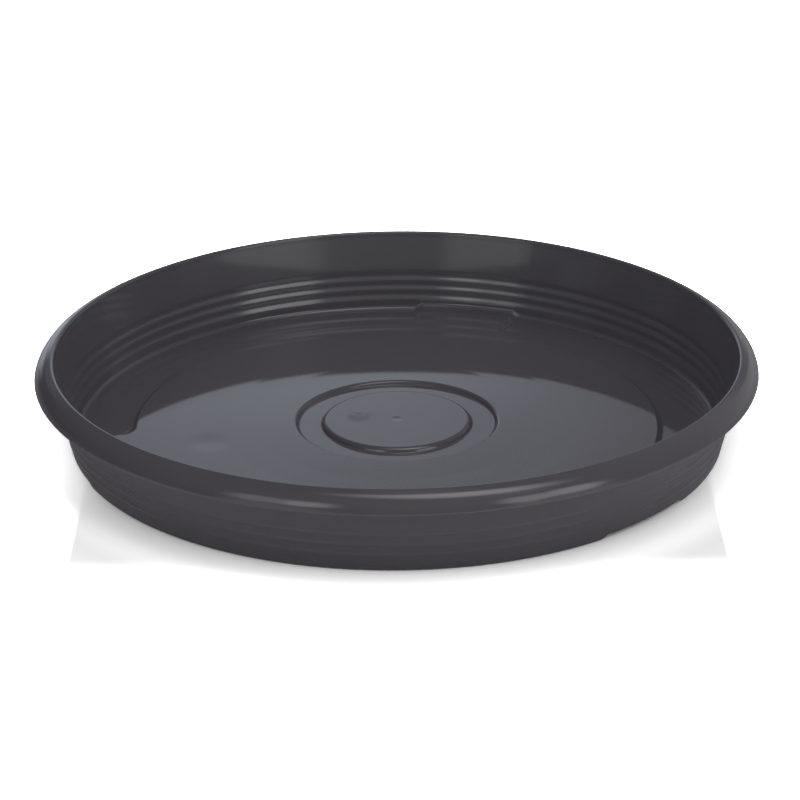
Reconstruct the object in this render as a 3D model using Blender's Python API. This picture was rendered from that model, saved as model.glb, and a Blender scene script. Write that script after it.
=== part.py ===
"""Round plant saucer: one thin-walled injection moulding, with no moving parts.

Metres, +Z up. The origin is on the ground, under the centre of the saucer.
"""
import math

import bmesh
import bpy
from mathutils import Vector

# The whole saucer
RIM_RADIUS = 0.2000
HEIGHT = 0.0495
WALL = 0.0025

# Floor: a raised disc in a sunk ring, a plateau that rises a little towards the ring, and round them a
# foot band lower than the plateau
BASE_RADIUS = 0.1811
FOOT_HEIGHT = 0.0018
FOOT_STEP_RADIUS = 0.1458
FOOT_STEP_RUN = 0.0018
FLOOR_RISE = 0.0006
FLOOR_RISE_RADIUS = 0.0900
RECESS_RADIUS = 0.0563
RECESS_RUN = 0.0014
DISC_RADIUS = 0.0410
DISC_RUN = 0.0012
DISC_HEIGHT = 0.0027
FLOOR_EDGE_SOFTENING = 0.0006
FOOT_STEP_SOFTENING = 0.0010
RECESS_EDGE_SOFTENING = 0.0014
DISC_EDGE_SOFTENING = 0.0018

# Gate mark in the middle of the disc
GATE_RADIUS = 0.0017
GATE_DEPTH = 0.0004
GATE_RUN = 0.0005

# Where the wall meets the foot band, inside and outside
WALL_FOOT_SOFTENING = 0.0034
BASE_EDGE_SOFTENING = 0.0013

# Corrugations round the wall: grooves inside, with lower beads behind them outside
GROOVE_COUNT = 3
LOWEST_GROOVE_HEIGHT = 0.0109
GROOVE_PITCH = 0.00575
GROOVE_WIDTH = 0.0040
GROOVE_BED_WIDTH = 0.0006
GROOVE_DEPTH = 0.0005
BEAD_WIDTH = 0.0026
BEAD_CREST_WIDTH = 0.0006
BEAD_HEIGHT = 0.00025

# Rim: the wall turns over its crest and hangs down outside as a skirt, which flares a little to its lip
RIM_WIDTH = 0.0109
RIM_FALL = math.radians(25.5)
SHOULDER_RUN = 0.0047
SKIRT_DEPTH = 0.0101
SKIRT_STRAIGHT = 0.0040
SKIRT_FLARE = 0.0012
CREST_SOFTENING = 0.0022
SHOULDER_SOFTENING = 0.0018
SKIRT_SOFTENING = 0.0019
LIP_SOFTENING = 0.0005

# The same corners on the hidden side of the rim, which turn more tightly
UNDER_CREST_SOFTENING = 0.0012
UNDER_SHOULDER_SOFTENING = 0.0012
UNDER_SKIRT_SOFTENING = 0.0009

# Channels through the foot band
CHANNEL_COUNT = 3
CHANNEL_ANGLE = math.radians(75.5)
CHANNEL_WIDTH = 0.0645
CHANNEL_SIDE_RUN = 0.0028

# Facets round the saucer, across each channel and along the foot band up to the next one
CHANNEL_FACETS = 3
FOOT_FACETS = 16

# Facets over each softened corner of the section
EDGE_FACETS = 1
ROUND_EDGE_FACETS = 3
WALL_FOOT_FACETS = 4
CREST_FACETS = 5
SHOULDER_FACETS = 3
SKIRT_FACETS = 2
HIDDEN_FACETS = 2
SHARP_EDGE = math.radians(20)

# Plastic, dark anthracite grey
PLASTIC_COLOUR = (0.044, 0.042, 0.048, 1.0)
PLASTIC_ROUGHNESS = 0.33


def clear_scene():
    for thing in list(bpy.data.objects):
        bpy.data.objects.remove(thing, do_unlink=True)


def floor_places(foot_top):
    """Corners of the floor's upper face as (radius, height), from the centre out to the foot band."""
    plateau_top = FOOT_HEIGHT + WALL
    disc_top = DISC_HEIGHT + WALL
    gate_bottom = disc_top - GATE_DEPTH
    return [
        Vector((0.0, gate_bottom)),
        Vector((GATE_RADIUS - GATE_RUN, gate_bottom)),
        Vector((GATE_RADIUS, disc_top)),
        Vector((DISC_RADIUS, disc_top)),
        Vector((DISC_RADIUS + DISC_RUN, WALL)),
        Vector((RECESS_RADIUS - RECESS_RUN, WALL)),
        Vector((RECESS_RADIUS, plateau_top + FLOOR_RISE)),
        Vector((FLOOR_RISE_RADIUS, plateau_top)),
        Vector((FOOT_STEP_RADIUS, plateau_top)),
        Vector((FOOT_STEP_RADIUS + FOOT_STEP_RUN, foot_top)),
    ]


def crest_rise(lean):
    """How far above the softened crest the wall's inner face and the rim's falling top would meet."""
    rising = 1.0 / math.hypot(1.0, lean)
    falling = math.sin(RIM_FALL)
    return CREST_SOFTENING * rising * falling / (rising + falling)


def wall_and_rim_places(foot_top):
    """Corners from the foot of the wall's inner face, over crest and shoulder, down the skirt to its lip."""
    inner_base_radius = BASE_RADIUS - WALL
    lean = (RIM_RADIUS - RIM_WIDTH - inner_base_radius) / HEIGHT
    crest_height = HEIGHT + crest_rise(lean)
    crest_radius = inner_base_radius + lean * crest_height
    shoulder_radius = RIM_RADIUS - SHOULDER_RUN
    shoulder_height = crest_height - (shoulder_radius - crest_radius) * math.tan(RIM_FALL)
    lip_height = HEIGHT - SKIRT_DEPTH
    return [
        Vector((inner_base_radius + lean * foot_top, foot_top)),
        Vector((crest_radius, crest_height)),
        Vector((shoulder_radius, shoulder_height)),
        Vector((RIM_RADIUS - SKIRT_FLARE, lip_height + SKIRT_STRAIGHT)),
        Vector((RIM_RADIUS, lip_height)),
    ]


def beneath(places):
    """The same corners one wall thickness further down or out, mitred, so that the wall is even."""
    ways = [(b - a).normalized() for a, b in zip(places, places[1:])]
    sides = [Vector((way.y, -way.x)) for way in ways]
    before = sides[:1] + sides
    after = sides + sides[-1:]
    return [p + WALL * (u + v) / (1.0 + u.dot(v)) for p, u, v in zip(places, before, after)]


def corrugations(foot, crest, setback, width, flat_width, bulge):
    """Corners of the outward bulges of one face of the wall, which lies setback outside the inner face."""
    along = (crest - foot).normalized()
    outward = Vector((along.y, -along.x))
    half, half_flat = width / 2, flat_width / 2
    steps = (-half, 0.0), (-half_flat, bulge), (half_flat, bulge), (half, 0.0)
    corners = []
    for i in range(GROOVE_COUNT):
        middle = foot + along * ((LOWEST_GROOVE_HEIGHT + i * GROOVE_PITCH - foot.y) / along.y)
        corners += [(middle + along * shift + outward * (setback + rise), 0.0, 0) for shift, rise in steps]
    return corners


def softened(corners):
    """A closed line through corners of (place, reach, facets), each eased over its reach."""
    line = []
    for i, (place, reach, facets) in enumerate(corners):
        if not facets:
            line.append(place)
            continue
        start = place + (corners[i - 1][0] - place).normalized() * reach
        end = place + (corners[(i + 1) % len(corners)][0] - place).normalized() * reach
        for step in range(facets + 1):
            t = step / facets
            line.append((1 - t) ** 2 * start + 2 * t * (1 - t) * place + t**2 * end)
    return line


def section(foot_level):
    """Outline of the moulding at one angle, with the foot band foot_level above the ground.

    It runs out along the upper face to the lip, then back along the lower face to the centre.
    """
    floor = floor_places(foot_level + WALL)
    rim = wall_and_rim_places(foot_level + WALL)
    foot, crest = rim[:2]
    under = beneath(floor + rim)
    under_floor, under_rim = under[: len(floor)], under[len(floor) :]

    upper = [(place, 0.0, 0) for place in floor[:3]]
    upper.append((floor[3], DISC_EDGE_SOFTENING, ROUND_EDGE_FACETS))
    upper += [(place, FLOOR_EDGE_SOFTENING, EDGE_FACETS) for place in floor[4:6]]
    upper.append((floor[6], RECESS_EDGE_SOFTENING, ROUND_EDGE_FACETS))
    upper.append((floor[7], 0.0, 0))
    upper.append((floor[8], FLOOR_EDGE_SOFTENING, EDGE_FACETS))
    upper.append((floor[9], FOOT_STEP_SOFTENING, EDGE_FACETS))
    upper.append((foot, WALL_FOOT_SOFTENING, WALL_FOOT_FACETS))
    upper += corrugations(foot, crest, 0.0, GROOVE_WIDTH, GROOVE_BED_WIDTH, GROOVE_DEPTH)
    upper.append((crest, CREST_SOFTENING, CREST_FACETS))
    upper.append((rim[2], SHOULDER_SOFTENING, SHOULDER_FACETS))
    upper.append((rim[3], SKIRT_SOFTENING, SKIRT_FACETS))
    upper.append((rim[4], LIP_SOFTENING, EDGE_FACETS))

    lower = [(place, 0.0, 0) for place in under_floor]
    lower.append((under_rim[0], BASE_EDGE_SOFTENING, EDGE_FACETS))
    lower += corrugations(foot, crest, WALL, BEAD_WIDTH, BEAD_CREST_WIDTH, BEAD_HEIGHT)
    lower.append((under_rim[1], UNDER_CREST_SOFTENING, HIDDEN_FACETS))
    lower.append((under_rim[2], UNDER_SHOULDER_SOFTENING, HIDDEN_FACETS))
    lower.append((under_rim[3], UNDER_SKIRT_SOFTENING, EDGE_FACETS))
    lower.append((under_rim[4], 0.0, 0))
    return softened(upper + lower[::-1])


def stations():
    """Angles round the saucer, each with the level of the foot band, which rises in the channels."""
    pitch = 2 * math.pi / CHANNEL_COUNT
    half_channel = CHANNEL_WIDTH / 2 / BASE_RADIUS
    half_crown = half_channel - CHANNEL_SIDE_RUN / BASE_RADIUS
    band = pitch - 2 * half_channel
    found = []
    for i in range(CHANNEL_COUNT):
        middle = CHANNEL_ANGLE + i * pitch
        for step in range(CHANNEL_FACETS + 1):
            found.append((middle + half_crown * (2 * step / CHANNEL_FACETS - 1), FOOT_HEIGHT))
        for step in range(FOOT_FACETS + 1):
            found.append((middle + half_channel + band * step / FOOT_FACETS, 0.0))
    return found


def plastic():
    material = bpy.data.materials.new("anthracite_polypropylene")
    material.use_nodes = True
    shader = material.node_tree.nodes["Principled BSDF"]
    shader.inputs["Base Color"].default_value = PLASTIC_COLOUR
    shader.inputs["Roughness"].default_value = PLASTIC_ROUGHNESS
    shader.inputs["Metallic"].default_value = 0.0
    return material


def saucer():
    """Lofts the section round the axis, with one point at the centre of each face of the floor."""
    bm = bmesh.new()
    plain = section(0.0)
    centre_above = bm.verts.new((0.0, 0.0, plain[0].y))
    centre_below = bm.verts.new((0.0, 0.0, plain[-1].y))
    rings = []
    for angle, foot_level in stations():
        points = section(foot_level)[1:-1]
        rings.append([bm.verts.new((p.x * math.cos(angle), p.x * math.sin(angle), p.y)) for p in points])
    for ring, following in zip(rings, rings[1:] + rings[:1]):
        bm.faces.new((centre_above, ring[0], following[0]))
        for i in range(len(ring) - 1):
            bm.faces.new((ring[i], ring[i + 1], following[i + 1], following[i]))
        bm.faces.new((centre_below, following[-1], ring[-1]))
    bmesh.ops.recalc_face_normals(bm, faces=bm.faces[:])
    mesh = bpy.data.meshes.new("saucer")
    bm.to_mesh(mesh)
    bm.free()
    mesh.materials.append(plastic())
    mesh.shade_smooth()
    mesh.set_sharp_from_angle(angle=SHARP_EDGE)
    bpy.context.scene.collection.objects.link(bpy.data.objects.new("saucer", mesh))


clear_scene()
saucer()
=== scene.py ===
import math

import bpy
from mathutils import Matrix, Vector


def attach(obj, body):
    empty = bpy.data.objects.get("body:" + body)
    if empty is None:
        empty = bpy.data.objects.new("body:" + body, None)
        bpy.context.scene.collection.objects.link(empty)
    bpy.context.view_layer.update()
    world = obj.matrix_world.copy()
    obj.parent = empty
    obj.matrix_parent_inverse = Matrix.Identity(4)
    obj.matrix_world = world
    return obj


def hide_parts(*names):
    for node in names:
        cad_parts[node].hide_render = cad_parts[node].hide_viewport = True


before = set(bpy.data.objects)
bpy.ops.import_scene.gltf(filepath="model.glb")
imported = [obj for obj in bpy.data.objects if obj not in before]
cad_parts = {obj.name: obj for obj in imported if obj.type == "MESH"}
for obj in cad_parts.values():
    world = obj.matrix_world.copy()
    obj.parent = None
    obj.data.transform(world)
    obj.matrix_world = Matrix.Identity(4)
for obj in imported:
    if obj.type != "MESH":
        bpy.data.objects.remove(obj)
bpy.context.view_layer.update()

# The saucer
# One injection moulding in dark anthracite polypropylene. Its wall forms the stepped floor, runs up past
# three shallow grooves and turns over into a rim that hangs down as a skirt.
# It is turned round its axis from its section, with its foot band pressed down between the channels.

RIM_RADIUS = 0.2000
WALL = 0.0025
HEIGHT = 0.0495

BASE_RADIUS = 0.1811
FOOT_HEIGHT = 0.0018
PLATEAU_TOP = FOOT_HEIGHT + WALL
STEP_RADIUS = 0.1458
STEP_RUN = 0.0018
RISE_RADIUS = 0.0900
RECESS_TOP = PLATEAU_TOP + 0.0006
RECESS_RADIUS = 0.0563
RECESS_RUN = 0.0014
DISC_RADIUS = 0.0410
DISC_RUN = 0.0012
DISC_TOP = 0.0052
GATE_FLAT_RADIUS = 0.0008
GATE_RADIUS = 0.0034
GATE_BOTTOM = DISC_TOP - 0.0002

GROOVE_PITCH = 0.00575
GROOVE_BEDS = tuple(0.0113 + GROOVE_PITCH * row for row in range(3))
GROOVE_PROFILE = ((-0.00285, 0.0), (0.0, 0.0006))
BEADS = (0.0103, 0.0162, 0.0223)
BEAD_PROFILE = ((-0.0013, 0.0), (0.0, 0.00024), (0.0013, 0.0))

RIM_WIDTH = 0.0109
RIM_FALL = math.tan(math.radians(25.5))
SHOULDER_RADIUS = 0.1953
SKIRT_BEND = Vector((0.19875, 0.0434))
SKIRT_FOOT = Vector((0.19988, 0.0400))
LIP = Vector((0.1999, 0.0389))

inner_foot = BASE_RADIUS - WALL
lean = (RIM_RADIUS - RIM_WIDTH - inner_foot) / HEIGHT
# The crest's corner lies this much above the crest that is left once the corner is rounded
CREST_RISE = 0.0007


def on_wall(height):
    """Place on the straight line of the wall's inner face, as (radius, height)."""
    return Vector((inner_foot + lean * height, height))


def beneath(corners):
    """The same corners one wall thickness further down or out, mitred."""
    ways = [(b - a).normalized() for a, b in zip(corners, corners[1:])]
    sides = [Vector((way.y, -way.x)) for way in ways]
    return [
        corner + WALL * (u + v) / (1.0 + u.dot(v))
        for corner, u, v in zip(corners, sides[:1] + sides, sides + sides[-1:])
    ]


def corrugations(heights, profile, setback):
    """Corners of the outward bulges of one face of the wall, which lies setback outside the inner face."""
    along = Vector((lean, 1.0)).normalized()
    outward = Vector((along.y, -along.x))
    return [
        on_wall(height) + along * shift + outward * (setback + rise)
        for height in heights
        for shift, rise in profile
    ]


floor_line = [
    Vector(corner)
    for corner in (
        (0.0, GATE_BOTTOM),
        (GATE_FLAT_RADIUS, GATE_BOTTOM),
        (GATE_RADIUS, DISC_TOP),
        (DISC_RADIUS, DISC_TOP),
        (DISC_RADIUS + DISC_RUN, WALL),
        (RECESS_RADIUS - RECESS_RUN, WALL),
        (RECESS_RADIUS, RECESS_TOP),
        (RISE_RADIUS, PLATEAU_TOP),
    )
]
crest = on_wall(HEIGHT + CREST_RISE)
shoulder = Vector((SHOULDER_RADIUS, crest.y - (SHOULDER_RADIUS - crest.x) * RIM_FALL))
rim_line = [on_wall(PLATEAU_TOP), crest, shoulder, SKIRT_BEND, SKIRT_FOOT, LIP]
under = beneath(floor_line + rim_line)
under_floor = under[: len(floor_line)]
under_rim = under[len(floor_line) :]
grooves = corrugations(GROOVE_BEDS, GROOVE_PROFILE, 0.0)
grooves += corrugations((GROOVE_BEDS[-1] + GROOVE_PITCH,), GROOVE_PROFILE[:1], 0.0)
beads = corrugations(BEADS, BEAD_PROFILE, WALL)

# Rows of points where the floor steps down to the foot band, close together over the step itself
CLOSE_ROWS = 0.0002
WIDE_ROWS = 0.0005
step_rows = [STEP_RADIUS + CLOSE_ROWS * row for row in range(-4, 18)]
step_rows += [STEP_RADIUS + WIDE_ROWS * row for row in range(7, 14)]
# The mitre of a wall that slopes as the step does moves the step inwards on the underside
UNDER_STEP_SHIFT = WALL * math.tan(math.atan(FOOT_HEIGHT / STEP_RUN) / 2)

# How far each corner is rounded along its sides, and in how many facets
floor_edges = ((0.0002, 2), (0.0002, 2), (0.0018, 9), (0.0006, 4), (0.0006, 4), (0.0014, 8), (0.0100, 8))
rim_edges = ((0.0022, 12), (0.0018, 10), (0.0021, 10), (0.0006, 5), (0.0004, 4))
under_rim_edges = ((0.0004, 4), (0.0004, 3), (0.0009, 4), (0.0012, 5), (0.0012, 6))
WALL_FOOT = (0.0022, 8)
UNDER_WALL_FOOT = (0.0013, 6)
GROOVE_EDGE = (0.0011, 8)
BEAD_EDGE = (0.0006, 4)
UNDER_FLOOR_EDGE = (0.0006, 4)
UNDER_GATE_EDGE = (0.0002, 2)

section = [(floor_line[0], None)]
section += zip(floor_line[1:], floor_edges)
section += [(Vector((radius, PLATEAU_TOP)), None) for radius in step_rows]
section += [(rim_line[0], WALL_FOOT)]
section += [(corner, GROOVE_EDGE) for corner in grooves]
section += zip(rim_line[1:], rim_edges)
section += zip(under_rim[:0:-1], under_rim_edges)
section += [(corner, BEAD_EDGE) for corner in reversed(beads)]
section += [(under_rim[0], UNDER_WALL_FOOT)]
section += [(Vector((radius - UNDER_STEP_SHIFT, FOOT_HEIGHT)), None) for radius in reversed(step_rows)]
section += [(corner, UNDER_FLOOR_EDGE) for corner in under_floor[:2:-1]]
section += [(corner, UNDER_GATE_EDGE) for corner in under_floor[2:0:-1]]
section += [(under_floor[0], None)]


def new_line(name, radius, height):
    """Starts a piece as one vertex in edit mode, on the plane of its section."""
    bpy.ops.object.select_all(action="DESELECT")
    bpy.ops.mesh.primitive_plane_add(size=0.001, location=(radius, 0.0, height))
    piece = bpy.context.object
    piece.name = piece.data.name = name
    bpy.ops.object.transform_apply(location=True, rotation=False, scale=False)
    bpy.ops.object.mode_set(mode="EDIT")
    bpy.ops.mesh.merge(type="CENTER")
    return piece


def draw_on(step):
    """Draws the line on by one straight stretch."""
    bpy.ops.mesh.extrude_region_move(TRANSFORM_OT_translate={"value": (step.x, 0.0, step.y)})


def pick_vertices(piece, wanted):
    """Selects, in edit mode, the vertices whose place passes the test."""
    bpy.ops.mesh.select_all(action="DESELECT")
    bpy.ops.object.mode_set(mode="OBJECT")
    for vertex in piece.data.vertices:
        vertex.select = wanted(vertex.co)
    bpy.ops.object.mode_set(mode="EDIT")


def round_corners(piece, corners, reach, facets):
    """Rounds the line at these corners."""
    places = [Vector((corner.x, 0.0, corner.y)) for corner in corners]
    pick_vertices(piece, lambda co: any((co - place).length < 1e-6 for place in places))
    bpy.ops.mesh.bevel(affect="VERTICES", offset=reach, segments=facets)


saucer = new_line("saucer_moulding", *section[0][0])
bpy.ops.mesh.select_mode(type="VERT")
for (start, _), (end, _) in zip(section, section[1:]):
    draw_on(end - start)
for rounding in dict.fromkeys(kind for _, kind in section if kind):
    round_corners(saucer, [corner for corner, kind in section if kind == rounding], *rounding)

# Turned in runs of (steps, degrees) from the middle of a channel to the middle of the next one, with
# the stations close together at the channels' sides
CHANNEL_COUNT = 3
CHANNEL_ANGLE = 75.5
TURN_RUNS = ((5, 9.0), (15, 3.0), (48, 96.0), (15, 3.0), (5, 9.0))
bpy.ops.mesh.select_all(action="SELECT")
for steps, degrees in TURN_RUNS * CHANNEL_COUNT:
    bpy.ops.mesh.spin(steps=steps, angle=math.radians(degrees), center=(0, 0, 0), axis=(0, 0, 1))
bpy.ops.mesh.select_all(action="SELECT")
bpy.ops.mesh.remove_doubles(threshold=0.000005)
bpy.ops.mesh.normals_make_consistent(inside=False)
bpy.ops.object.mode_set(mode="OBJECT")

# The foot band is pressed down between the channels, and the foot of the wall goes with it
CHANNEL_WIDTH = 0.0645
CHANNEL_SIDE_RUN = 0.0028
CORNER_ROUNDING = 4.5
STEP_TOP_EASE = 0.3
STEP_FOOT_EASE = 0.7
BAND_START = STEP_RADIUS - 0.0040
WALL_FOOT_TOP = 0.0080
WALL_FOOT_START = on_wall(PLATEAU_TOP).x - 0.0036


def ramp(distance):
    """Rises from 0 to 1 as distance does, eased at both ends."""

    def eased(x, reach):
        return (max(x + reach, 0.0) ** 2 / (4 * reach)) if x < reach else x

    return eased(distance, STEP_TOP_EASE) - eased(distance - 1.0, STEP_FOOT_EASE)


def pressed(radius, angle):
    """Share of the foot band's full depth at a place in plan, with rounded corners at the channels."""
    pitch = 2 * math.pi / CHANNEL_COUNT
    from_channel = abs((angle + pitch / 2) % pitch - pitch / 2)
    crown = (CHANNEL_WIDTH / 2 - CHANNEL_SIDE_RUN) / BASE_RADIUS
    out = (radius - STEP_RADIUS) / STEP_RUN
    along = (from_channel - crown) * BASE_RADIUS / CHANNEL_SIDE_RUN
    if out < CORNER_ROUNDING and along < CORNER_ROUNDING:
        return ramp(CORNER_ROUNDING - math.hypot(CORNER_ROUNDING - out, CORNER_ROUNDING - along))
    return ramp(min(out, along))


for vertex in saucer.data.vertices:
    co = vertex.co
    radius = math.hypot(co.x, co.y)
    if radius < BAND_START or co.z > WALL_FOOT_TOP:
        continue
    shift = 0.0 if co.z > PLATEAU_TOP - WALL / 2 else UNDER_STEP_SHIFT
    drop = FOOT_HEIGHT * pressed(radius + shift, math.atan2(co.y, co.x))
    co.z -= drop
    if radius > WALL_FOOT_START:
        co.xy *= 1.0 - lean * drop / radius

saucer.rotation_euler.z = math.radians(CHANNEL_ANGLE)
bpy.ops.object.transform_apply(location=False, rotation=True, scale=False)
bpy.ops.object.shade_smooth()
normals = saucer.modifiers.new("Even shading", "WEIGHTED_NORMAL")
bpy.ops.object.modifier_apply(modifier=normals.name)


class Signal:
    """A socket in a material. Arithmetic on it adds Math nodes, and node() adds any other."""

    def __init__(self, socket):
        self.socket = socket

    def node(self, kind, settings=(), outlet=0, **inputs):
        """An outlet of a new node, with its settings, and its sockets' values or links by name."""
        tree = self.socket.id_data
        made = tree.nodes.new(kind)
        for name, value in dict(settings).items():
            setattr(made, name, value)
        for name, value in inputs.items():
            target = made.inputs[int(name[1:]) if name[1:].isdigit() else name.replace("_", " ")]
            if isinstance(value, Signal):
                tree.links.new(value.socket, target)
            else:
                target.default_value = value
        return Signal(made.outputs[outlet])

    def math(self, operation, *others):
        """This value and the others through a Math node."""
        inputs = {f"_{i}": value for i, value in enumerate((self, *others))}
        return self.node("ShaderNodeMath", {"operation": operation}, **inputs)

    def __add__(self, other):
        return self.math("ADD", other)

    def __sub__(self, other):
        return self.math("SUBTRACT", other)

    def __rsub__(self, other):
        return (self * -1.0) + other

    def __mul__(self, other):
        return self.math("MULTIPLY", other)

    def __truediv__(self, other):
        return self.math("DIVIDE", other)

    def __pow__(self, power):
        return self.math("POWER", power)

    def __abs__(self):
        return self.math("ABSOLUTE")

    __radd__ = __add__
    __rmul__ = __mul__

    def over(self, low, high):
        """Eases from 0 at low to 1 at high."""
        settings = {"interpolation_type": "SMOOTHSTEP"}
        return self.node("ShaderNodeMapRange", settings, Value=self, From_Min=low, From_Max=high)

    def mix(self, first, second):
        """Colour that goes from the first to the second as this goes from 0 to 1."""
        return self.node("ShaderNodeMix", {"data_type": "RGBA"}, 2, _0=self, _6=first, _7=second)

    def noise(self, scale, detail=2.0):
        """Soft noise round 0.5 at this place."""
        return self.node("ShaderNodeTexNoise", (), Vector=self, Scale=scale, Detail=detail)

    def placed(self, centre, turn=(0.0, 0.0, 0.0), size=(1.0, 1.0, 1.0)):
        """This place as seen from a centre and turn, in parts of a size."""
        values = {"Location": centre, "Rotation": turn, "Scale": size}
        return self.node("ShaderNodeMapping", {"vector_type": "TEXTURE"}, Vector=self, **values)

    def part(self, axis):
        """This place's X, Y or Z."""
        return self.node("ShaderNodeSeparateXYZ", (), axis, Vector=self)

    def length(self):
        return self.node("ShaderNodeVectorMath", {"operation": "LENGTH"}, "Value", _0=self)

    def plan_distance(self, x=0.0, y=0.0):
        """Distance from an upright line, with heights pressed flat."""
        return self.placed((x, y, 0.0), size=(1.0, 1.0, 1000.0)).length()

    def bump(self, height):
        """Surface direction over a height in metres."""
        return self.node("ShaderNodeBump", (), Strength=1.0, Distance=1.0, Height=height)


def new_finish(name):
    """A material, its shader and the Object place on its piece."""
    finish = bpy.data.materials.new(name)
    finish.use_nodes = True
    nodes = finish.node_tree.nodes
    place = Signal(nodes.new("ShaderNodeTexCoord").outputs["Object"])
    return finish, nodes["Principled BSDF"], place


def feed(signal, shader, socket):
    """Links a signal to a shader's socket."""
    signal.socket.id_data.links.new(signal.socket, shader.inputs[socket])


def plastic_finish():
    """Dark anthracite polypropylene as it leaves a polished mould, with a little dust and handling."""
    finish, shader, place = new_finish("anthracite_polypropylene")
    shader.inputs["IOR"].default_value = 1.5

    # A shallow dent left of the disc, and a tiny pimple by the channel at the back
    waviness = place.noise(24.0, 1.0) * 0.000022
    peel = place.noise(420.0, 1.0) * 0.0000011
    dent = (1.0 - place.plan_distance(-0.104, -0.029).over(0.0, 0.015)) * -0.00022
    pimple = (1.0 - place.plan_distance(0.0671, 0.1375).over(0.0, 0.0019)) * 0.00012
    feed(place.bump(waviness + peel + dent + pimple), shader, "Normal")

    clouds = place.noise(9.0, 3.0).over(0.3, 0.7)
    flecks = place.noise(2600.0, 0.0).over(0.55, 0.8)
    cells = place.node("ShaderNodeTexVoronoi", {"feature": "F1"}, "Distance", Vector=place, Scale=30.0)
    specks = 1.0 - cells.over(0.008, 0.016)
    tone = clouds.mix((0.0425, 0.0395, 0.0465, 1.0), (0.0455, 0.0425, 0.0495, 1.0))
    tone = (flecks * 0.25).mix(tone, (0.060, 0.058, 0.064, 1.0))
    tone = (specks * 0.8).mix(tone, (0.30, 0.29, 0.28, 1.0))
    feed(tone, shader, "Base Color")

    # A matt smudge on the disc, and the streaks of a cloth
    smudge = 1.0 - place.plan_distance(-0.0210, 0.0034).over(0.00525, 0.01155)
    smudge = smudge * place.noise(110.0, 2.0).over(0.3, 0.6)
    wipes = place.placed((0.0, 0.0, 0.0), (0.0, 0.0, 0.5), (0.12, 0.012, 0.12)).noise(1.0, 3.0)
    wipes = wipes.over(0.45, 0.75)
    roughness = clouds * 0.008 + wipes * 0.012 + smudge * 0.24 + specks * 0.4 + 0.05
    feed(roughness, shader, "Roughness")

    # The mould leaves the inside of the wall a little duller, which shows as a haze over its reflections
    height = place.part("Z")
    inside = 1.0 - (place.plan_distance() - height * lean).over(inner_foot + 0.0008, inner_foot + 0.0016)
    haze = inside * height.over(0.006, 0.010) * (1.0 - height.over(0.045, 0.048))
    feed(haze * 0.6, shader, "Coat Weight")
    shader.inputs["Coat Roughness"].default_value = 0.38
    return finish


saucer.data.materials.append(plastic_finish())
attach(saucer, "root")
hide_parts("saucer")

# The studio table
# White acrylic sheet, wide enough to fill the picture, glossy in what the saucer reflects. Its colour greys
# towards the back, painted shade that the saucer's wall and rim mirror. The camera sees it as a matt sheet
# brighter than the saucer does, so that it comes out white, and the faint mirror image of the saucer in it is
# painted.
bpy.ops.object.select_all(action="DESELECT")
bpy.ops.mesh.primitive_plane_add(size=12.0, location=(0.0, 0.0, -0.0001))
table = bpy.context.object
table.name = "studio_table"
bpy.ops.object.transform_apply(location=True)

acrylic, shader, place = new_finish("white_acrylic")
shader.inputs["Roughness"].default_value = 0.12
shader.inputs["IOR"].default_value = 1.4
across = place.part("X")
nearness = place.part("Y") * -1.0
# Painted shade: to the saucer's gloss and bounce light the table is darker towards the back
feed(nearness.over(0.0, 0.2).mix((0.22, 0.21, 0.225, 1.0), (0.75, 0.71, 0.75, 1.0)), shader, "Base Color")

# To the camera it is whiter, most so away from the saucer and beside it: painted light that evens the lamps'
# shade out to white and narrows the foot's cast shadow. In front a painted reflection, a faint dark mirror
# image of the wall, is laid over it.
radius = place.length()
ahead = nearness / radius
beside = (1.0 - ahead.over(0.2, 0.6)) * (across * -2.0 + 0.75)
# Painted reflection: the mask of a faint mirror image of the wall on the table in front of the saucer
painted_mirror_image = (1.0 - abs(across).over(0.1655, 0.1685)) * (1.0 - nearness.over(0.163, 0.197))
painted_mirror_image = painted_mirror_image * nearness.over(0.03, 0.09)
# Painted light that whitens the table away from the saucer, narrowing the foot's shadow
white = radius.over(0.193, 0.215) * (1.0 - painted_mirror_image) * 0.9 + radius.over(0.179, 0.187) * 0.25
white = white + beside + ahead.over(0.7, 1.0) * 0.12 + 1.05
# The painted reflection darkens the table there
white = white * (1.0 - painted_mirror_image * (radius.over(0.198, 0.224) * 0.25 + across * 0.2 + 0.16))
tree = acrylic.node_tree
seen = tree.nodes.new("ShaderNodeBsdfDiffuse")
feed((white * 0.25).mix((0.0, 0.0, 0.0, 1.0), (4.0, 4.0, 4.02, 1.0)), seen, "Color")
paths = tree.nodes.new("ShaderNodeLightPath")
choice = tree.nodes.new("ShaderNodeMixShader")
tree.links.new(paths.outputs["Is Camera Ray"], choice.inputs["Fac"])
tree.links.new(shader.outputs["BSDF"], choice.inputs[1])
tree.links.new(seen.outputs["BSDF"], choice.inputs[2])
tree.links.new(choice.outputs["Shader"], tree.nodes["Material Output"].inputs["Surface"])
table.data.materials.append(acrylic)

# The lights
# Fabric screens lit from behind that stand round the saucer outside the picture, brightest in the middle.
# The one behind the saucer is mirrored by its floor, and those in front, above and beside it by rim and wall.
DAYLIGHT = (0.92, 1.0, 1.14)
PAINTED_WALL = (1.03, 1.0, 1.08)


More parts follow.
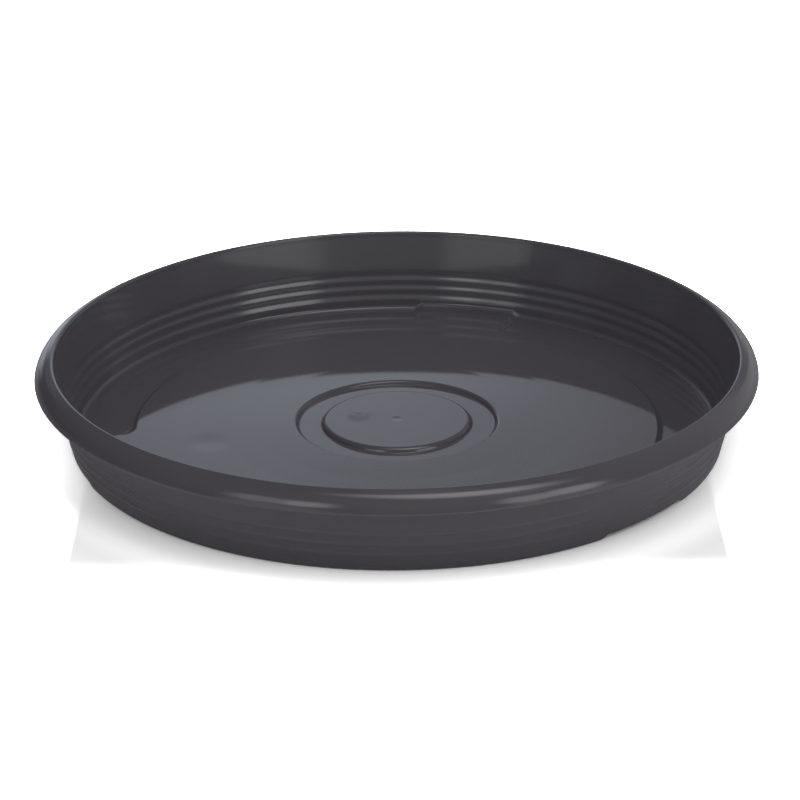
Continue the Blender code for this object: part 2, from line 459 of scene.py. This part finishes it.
def screen(name, stand, half_size, radiance, core=0.2, tint=(1.0, 1.0, 1.0), roll=0.0):
    """A screen that faces the saucer and is evenly bright in its core, a share of its reach.

    It stands at an azimuth counted from the viewer to the right, an elevation and a distance.
    """
    azimuth, elevation, distance = stand
    a, e = math.radians(azimuth), math.radians(elevation)
    away = Vector((math.sin(a) * math.cos(e), -math.cos(a) * math.cos(e), math.sin(e)))
    facing = away.to_track_quat("Z", "Y").to_matrix()
    turn = (facing @ Matrix.Rotation(math.radians(roll), 3, "Z")).to_euler()
    size = (*half_size, 1.0)
    bpy.ops.object.select_all(action="DESELECT")
    bpy.ops.mesh.primitive_plane_add(size=2.0, location=away * distance, rotation=turn)
    piece = bpy.context.object
    piece.name = name
    piece.scale = size
    bpy.ops.object.transform_apply(location=True, rotation=True, scale=True)
    piece.visible_camera = False

    fabric, shader, place = new_finish(name)
    shader.inputs["Base Color"].default_value = (0.0, 0.0, 0.0, 1.0)
    shader.inputs["Specular IOR Level"].default_value = 0.0
    shader.inputs["Emission Color"].default_value = (*tint, 1.0)
    shader.inputs["Emission Strength"].default_value = radiance
    tree = fabric.node_tree
    clear = tree.nodes.new("ShaderNodeBsdfTransparent")
    fade = tree.nodes.new("ShaderNodeMixShader")
    feed(place.placed(away * distance, turn, size).length().over(core, 1.0), fade, "Fac")
    tree.links.new(shader.outputs["BSDF"], fade.inputs[1])
    tree.links.new(clear.outputs["BSDF"], fade.inputs[2])
    tree.links.new(fade.outputs["Shader"], tree.nodes["Material Output"].inputs["Surface"])
    piece.data.materials.append(fabric)


screen("left_screen_a", (-42.0, 27.0, 1.575), (0.34, 0.52), 1.45)
screen("left_screen_b", (-27.9, 28.5, 1.59), (0.36, 0.46), 2.4)
screen("right_screen_a", (38.5, 23.0, 1.58), (0.33, 0.54), 2.3, 0.3)
screen("right_screen_b", (52.5, 23.5, 1.56), (0.34, 0.54), 2.6, 0.3)
screen("top_screen", (44.0, 73.2, 1.58), (0.61, 0.92), 3.1, 0.15, roll=20.0)
screen("left_reflector", (-34.0, 6.0, 1.6), (0.60, 0.28), 0.75, 0.5)
screen("right_reflector", (47.0, 4.0, 1.6), (0.75, 0.28), 0.80, 0.5)
screen("back_screen", (-174.0, 17.0, 1.62), (0.78, 0.70), 0.81, 0.1, DAYLIGHT)
screen("back_reflector", (-155.0, 4.0, 1.6), (0.48, 0.27), 0.85, 0.3, DAYLIGHT)
screen("back_wall", (180.0, 26.0, 1.9), (1.4, 0.9), 0.16, 0.8, PAINTED_WALL)

# The air
# It lights the saucer softly from everywhere, a little more from the right. Gloss sees it darker, and
# brightest in front above the saucer and behind it on the right. To the camera it is white.
world = bpy.data.worlds.new("studio_air")
bpy.context.scene.world = world
world.use_nodes = True
tree = world.node_tree
background = tree.nodes["Background"]
background.inputs["Color"].default_value = (1.0, 1.0, 1.0, 1.0)
paths = tree.nodes.new("ShaderNodeLightPath")
glossy = Signal(paths.outputs["Is Glossy Ray"])
camera_ray = Signal(paths.outputs["Is Camera Ray"])
direction = Signal(tree.nodes.new("ShaderNodeTexCoord").outputs["Generated"])
rightness = direction.part("X")
backness = direction.part("Y")
back_right = (rightness * 0.5 + backness * 0.866).math("MAXIMUM", 0.0) ** 3.0
front_above = backness.math("MINIMUM", 0.0) * direction.part("Z")
for_gloss = rightness * 0.06 - backness * 0.12 - front_above * 0.25 + back_right * 0.4 + 0.14
for_diffuse = rightness.math("MAXIMUM", 0.0) * 0.5 + 1.02
strength = for_diffuse + glossy * (for_gloss - for_diffuse) + camera_ray * (1.0 - for_diffuse)
feed(strength, background, "Strength")

# The camera
# A long lens some 1.5 m away, looking down at the middle of the saucer. Its place, lens and framing are
# fitted to the outline in the photograph, which is 800 pixels wide and high.
TARGET = Vector((0.0, 0.0, 0.025))
VIEW_DISTANCE = 1.5246
VIEW_ELEVATION = math.radians(22.5865)
VIEW_ROLL = math.radians(-0.5139)
IMAGE = 800
CENTRE = (396.597, 385.907)
FOCAL = 2734.208

back = Vector((0.0, -math.cos(VIEW_ELEVATION), math.sin(VIEW_ELEVATION)))
bpy.ops.object.camera_add(location=TARGET + back * VIEW_DISTANCE)
camera = bpy.context.object
camera.name = "camera"
tilt = Matrix.Rotation(math.pi / 2 - VIEW_ELEVATION, 3, "X")
camera.rotation_euler = (tilt @ Matrix.Rotation(VIEW_ROLL, 3, "Z")).to_euler()
camera.data.sensor_width = 36.0
camera.data.lens = FOCAL * camera.data.sensor_width / IMAGE
camera.data.shift_x = (IMAGE / 2 - CENTRE[0]) / IMAGE
camera.data.shift_y = (CENTRE[1] - IMAGE / 2) / IMAGE
camera.data.clip_end = 50.0
scene = bpy.context.scene
scene.camera = camera
scene.view_settings.view_transform = "Standard"
